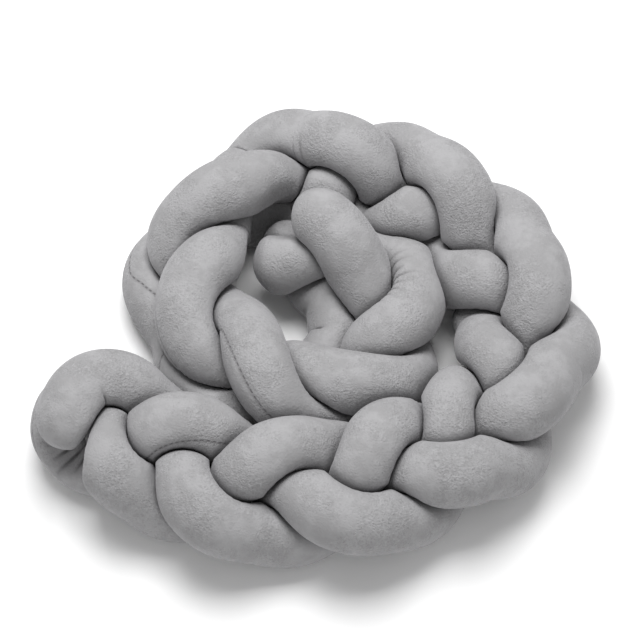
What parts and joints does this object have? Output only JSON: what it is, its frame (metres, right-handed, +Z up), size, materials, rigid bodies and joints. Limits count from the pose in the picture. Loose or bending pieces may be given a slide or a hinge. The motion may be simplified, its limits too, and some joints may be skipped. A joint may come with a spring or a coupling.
{
  "type": "crib bumper",
  "caption": "Braided crib bumper of filled plush tubes, lying on the floor as an inward spiral.",
  "frame": {"origin": "middle of the spiral's bounding box, on the floor it lies on", "axes": "+Z up from the floor, +X to the right along the straight front arm of the spiral, +Y away from that arm towards the back of the spiral"},
  "size_m": [0.6678, 0.592, 0.1559],
  "materials": {
    "plush": "short-pile grey crystal velvet with a soft sheen"
  },
  "bodies": {
    "root": {"folded_tube": "plush", "plain_tube": "plush"}
  },
  "joints": []
}
